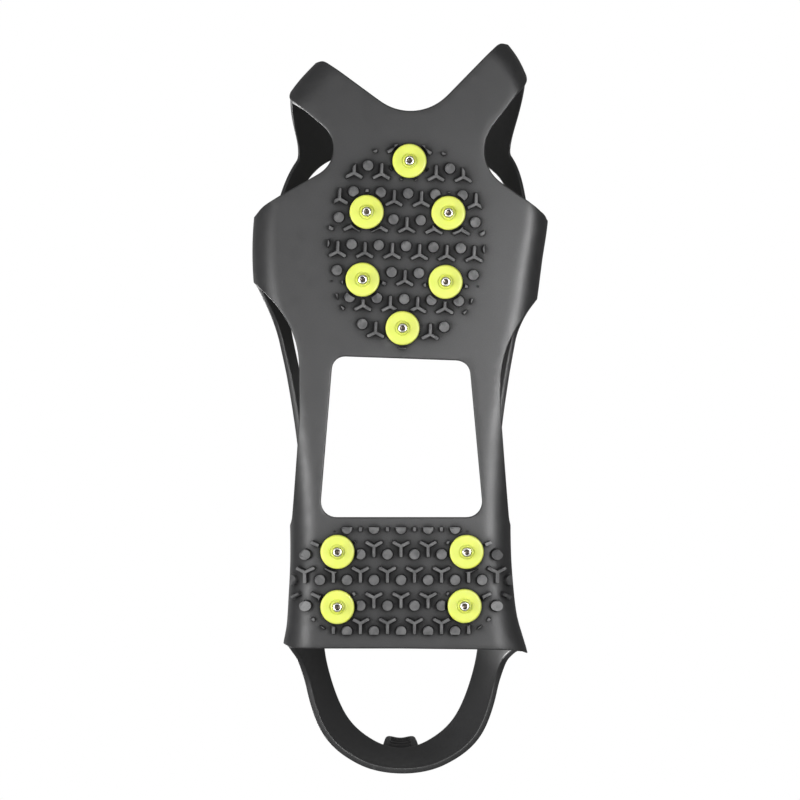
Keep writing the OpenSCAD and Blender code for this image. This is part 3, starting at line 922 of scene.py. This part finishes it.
# The worn colour is the edges' lighter tone, partly wear and partly a painted highlight
HARNESS_RUBBER = rubber("harness_rubber", dark=(0.027, 0.027, 0.028), light=(0.033, 0.033, 0.034),
                        worn_and_highlit=(0.05, 0.05, 0.05))
TREAD_RUBBER = rubber("tread_rubber", dark=(0.031, 0.031, 0.033), light=(0.039, 0.039, 0.041),
                      worn_and_highlit=(0.14, 0.14, 0.14))
CARRIER_PLASTIC = plastic("carrier_plastic", (0.82, 0.90, 0.16), (0.78, 0.87, 0.13))
STUD_STEEL = steel("stud_steel")


def dress(obj, material, slot, *nodes):
    """Gives a piece its material and hides the CAD nodes it stands for. The slot is not used."""
    obj.data.materials.clear()
    obj.data.materials.append(material)
    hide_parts(*nodes)


HARNESS_NODES = ["forefoot_pad", "heel_pad", "arch_bar_left", "arch_bar_right", "toe_strap_left",
                 "toe_strap_right", "toe_band", "wing_left", "wing_right", "side_rim_left",
                 "side_rim_right", "heel_wall_left", "heel_wall_right", "heel_band"]

harness = make_harness()
dress(harness, HARNESS_RUBBER, "harness_rubber", *HARNESS_NODES)
forefoot_lugs, heel_lugs = make_treads()
dress(forefoot_lugs, TREAD_RUBBER, "tread_rubber", "forefoot_tread")
dress(heel_lugs, TREAD_RUBBER, "tread_rubber", "heel_tread")
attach(forefoot_lugs, "harness")
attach(heel_lugs, "harness")
tab = make_tab()
dress(tab, HARNESS_RUBBER, "harness_rubber", "pull_tab")
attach(tab, "heel_loop")
for number, centre in enumerate(STUDS, 1):
    heading = HEADING_STEP * number
    carrier = turned_part(f"carrier_{number}", CARRIER_PROFILE, centre, heading)
    dress(carrier, CARRIER_PLASTIC, "carrier_plastic", f"stud_carrier_{number}")
    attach(carrier, "harness")
    stud = turned_part(f"stud_{number}", STUD_PROFILE, centre, -heading)
    dress(stud, STUD_STEEL, "stud_steel", f"steel_stud_{number}")
    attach(stud, "harness")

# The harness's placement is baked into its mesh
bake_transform(harness)


# ---------------------------------------------------------------------------------------------------------
# Camera, light and floor
# ---------------------------------------------------------------------------------------------------------
def area_light(name, place, aim, size, power):
    data = bpy.data.lights.new(name, "AREA")
    data.shape, data.size, data.energy = "DISK", size, power
    light = bpy.data.objects.new(name, data)
    light.location = place
    light.rotation_euler = (Vector(aim) - Vector(place)).to_track_quat("-Z", "Y").to_euler()
    bpy.context.scene.collection.objects.link(light)
    return light


VIEW_WIDTH, LENS, SENSOR = 0.312, 200, 36
lens = bpy.data.cameras.new("camera")
lens.lens, lens.sensor_width, lens.clip_start, lens.clip_end = LENS, SENSOR, 0.05, 50
camera = bpy.data.objects.new("camera", lens)
camera.location = (0.0003, 0.00505, 0.0043 - VIEW_WIDTH * LENS / SENSOR)
camera.rotation_euler = (0, math.pi, 0)
bpy.context.scene.collection.objects.link(camera)
bpy.context.scene.camera = camera

# The wide lights give the even tone, and the two sheen lights the soft gradients across the rubber
area_light("front_below", (0, 0, -1.5), (0, 0, 0), 2.4, 10)
left_below = area_light("left_below", (0.9, -0.1, -0.7), (0, 0, 0), 1.4, 14)
right_below = area_light("right_below", (-0.9, -0.1, -0.7), (0, 0, 0), 1.4, 5)
left_below.visible_glossy = right_below.visible_glossy = False
sheen_right = area_light("sheen_right", (-0.17, 0.01, -0.25), (-0.02, 0, 0), 0.16, 2.0)
sheen_left = area_light("sheen_left", (0.2, -0.05, -0.23), (0.03, -0.02, 0), 0.16, 1.3)
sheen_right.visible_diffuse = sheen_left.visible_diffuse = False
area_light("key_above", (0.9, -0.7, 1.3), (0, 0, 0), 0.5, 20)
sun = bpy.data.lights.new("overhead", "SUN")
sun.energy, sun.angle = 1.9, 0.6
overhead = bpy.data.objects.new("overhead", sun)
overhead.rotation_euler = (math.radians(-18), math.radians(-14), 0)
overhead.visible_glossy = False
bpy.context.scene.collection.objects.link(overhead)

# The world lights faintly, and the camera sees it as white
world = bpy.data.worlds.new("studio")
bpy.context.scene.world = world
world.use_nodes = True
nodes, link = world.node_tree.nodes, world.node_tree.links.new
background = nodes["Background"]
background.inputs["Color"].default_value = (1, 1, 1, 1)
background.inputs["Strength"].default_value = 0.15
seen = nodes.new("ShaderNodeBackground")
seen.inputs["Color"].default_value = (1, 1, 1, 1)
choose = nodes.new("ShaderNodeMixShader")
link(nodes.new("ShaderNodeLightPath").outputs["Is Camera Ray"], choose.inputs[0])
link(background.outputs[0], choose.inputs[1])
link(seen.outputs[0], choose.inputs[2])
link(choose.outputs[0], nodes["World Output"].inputs["Surface"])
bpy.context.scene.view_settings.view_transform = "Standard"

# The floor shows from above only, because the camera looks up at the soles from under it. Away from the
# object it fades to the white of the backdrop.
FLOOR_HALF, FADE_FROM, FADE_TO = 7.0, 0.3, 1.5
corners = [(x * FLOOR_HALF / MM, y * FLOOR_HALF / MM, 0) for x, y in ((-1, -1), (1, -1), (1, 1), (-1, 1))]
floor = mesh_object("floor", corners, [(0, 1, 2, 3)])
n = Nodes("floor")
n.finish(n.ramp(n.noise(6, 3), (0.3, 0.79), (0.7, 0.82)), n.ramp(n.noise(40), (0.3, 0.55), (0.7, 0.65)),
         n.bump(n.noise(900), 0.05, 0.0001))
far = n.new("ShaderNodeVectorMath", operation="LENGTH")
n.link(n.place, far.inputs[0])
fade = n.new("ShaderNodeMapRange", interpolation_type="SMOOTHSTEP")
n.link(far.outputs["Value"], fade.inputs["Value"])
fade.inputs["From Min"].default_value, fade.inputs["From Max"].default_value = FADE_FROM, FADE_TO
white = n.new("ShaderNodeEmission")
lit = n.new("ShaderNodeMixShader")
n.link(fade.outputs["Result"], lit.inputs[0])
n.link(n.shader.outputs[0], lit.inputs[1])
n.link(white.outputs[0], lit.inputs[2])
one_sided = n.new("ShaderNodeMixShader")
n.link(n.new("ShaderNodeNewGeometry").outputs["Backfacing"], one_sided.inputs[0])
n.link(lit.outputs[0], one_sided.inputs[1])
n.link(n.new("ShaderNodeBsdfTransparent").outputs[0], one_sided.inputs[2])
n.link(one_sided.outputs[0], n.tree.nodes["Material Output"].inputs["Surface"])
floor.data.materials.append(n.material)
floor.visible_shadow = floor.visible_diffuse = floor.visible_glossy = False
